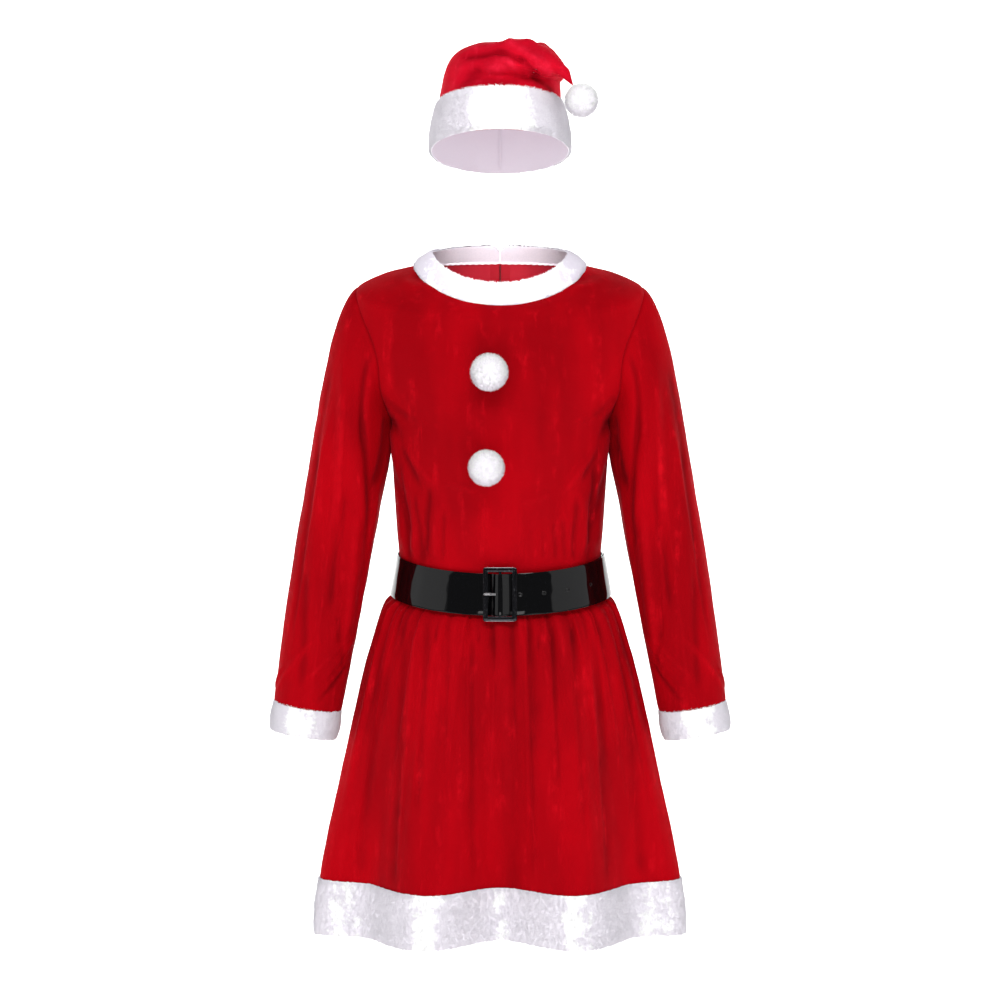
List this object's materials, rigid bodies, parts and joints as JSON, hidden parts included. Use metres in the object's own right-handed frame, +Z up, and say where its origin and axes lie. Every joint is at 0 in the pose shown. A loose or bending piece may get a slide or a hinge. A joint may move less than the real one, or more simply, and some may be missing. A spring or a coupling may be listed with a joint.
{
  "type": "christmas costume dress with belt and hat",
  "caption": "Long-sleeved red velvet dress with white plush trim, gathered skirt, patent belt and a matching hat.",
  "frame": {"origin": "between the shoulders at the base of the neck, where the wearer carries the dress", "axes": "+Z up, the front of the dress faces -Y, +X to the right as seen from the front"},
  "size_m": [0.5722, 0.3009, 1.1094],
  "materials": {
    "velvet": "short-pile velvet",
    "plush": "white short-pile plush",
    "patent": "black patent",
    "buckle_metal": "polished black nickel",
    "prong_metal": "plain steel",
    "zip_metal": "red lacquer",
    "tape": "woven tape"
  },
  "bodies": {
    "garment": {"bodice_front": "velvet", "bodice_back_left": "velvet", "bodice_back_right": "velvet", "sleeve_left": "velvet", "sleeve_right": "velvet", "cuff_left": "plush", "cuff_right": "plush", "skirt_front": "velvet", "skirt_back": "velvet", "hem_trim_front": "plush", "hem_trim_back": "plush", "collar": "plush", "pompom_upper": "plush", "pompom_lower": "plush", "belt_strap": "patent", "buckle_frame": "buckle_metal", "buckle_prong": "prong_metal", "zip_tape": "tape", "zip_slider": "zip_metal", "hat_band": "plush", "hat_crown": "velvet", "hat_pompom": "plush"},
    "pull": {"zip_pull": "zip_metal"}
  },
  "joints": [
    {"name": "pull_hinge", "type": "hinge", "parent": "garment", "child": "pull", "pos_m": [0, 0.06983, -0.00364], "axis": [1, 0, 0], "range_deg": [0, 150]}
  ]
}
